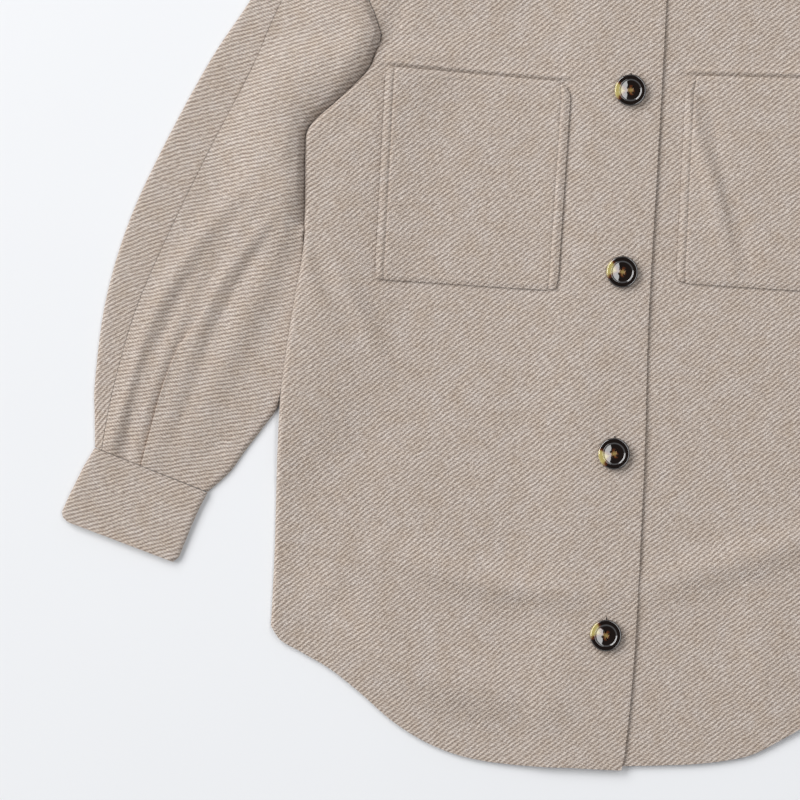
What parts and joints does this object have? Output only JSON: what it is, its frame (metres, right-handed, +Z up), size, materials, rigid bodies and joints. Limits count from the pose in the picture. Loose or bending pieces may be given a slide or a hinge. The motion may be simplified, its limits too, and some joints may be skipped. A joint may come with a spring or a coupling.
{
  "type": "wool twill shirt jacket laid flat",
  "caption": "Long-sleeved button-front shirt jacket in thick napped twill, laid flat on its back, with patch chest pockets, closed cuffs, shirt collar and curved hem.",
  "frame": {"origin": "middle of the laid-out garment, on the surface it lies on", "axes": "+X towards the wearer's left sleeve, +Y from hem to collar, +Z up from the surface"},
  "size_m": [0.8768, 0.81, 0.0113],
  "materials": {
    "wool_twill": "napped diagonal twill, warm greige, matt with a soft sheen",
    "button_resin": "polished dark tortoiseshell with amber patches"
  },
  "bodies": {
    "root": {"back": "wool_twill", "front_right": "wool_twill", "front_left": "wool_twill", "sleeve_upper_right": "wool_twill", "sleeve_under_right": "wool_twill", "sleeve_upper_left": "wool_twill", "sleeve_under_left": "wool_twill", "cuff_right": "wool_twill", "cuff_left": "wool_twill", "collar_stand": "wool_twill", "collar_leaf": "wool_twill", "pocket_right": "wool_twill", "pocket_left": "wool_twill", "button_1": "button_resin", "button_2": "button_resin", "button_3": "button_resin", "button_4": "button_resin", "button_5": "button_resin"}
  },
  "joints": []
}
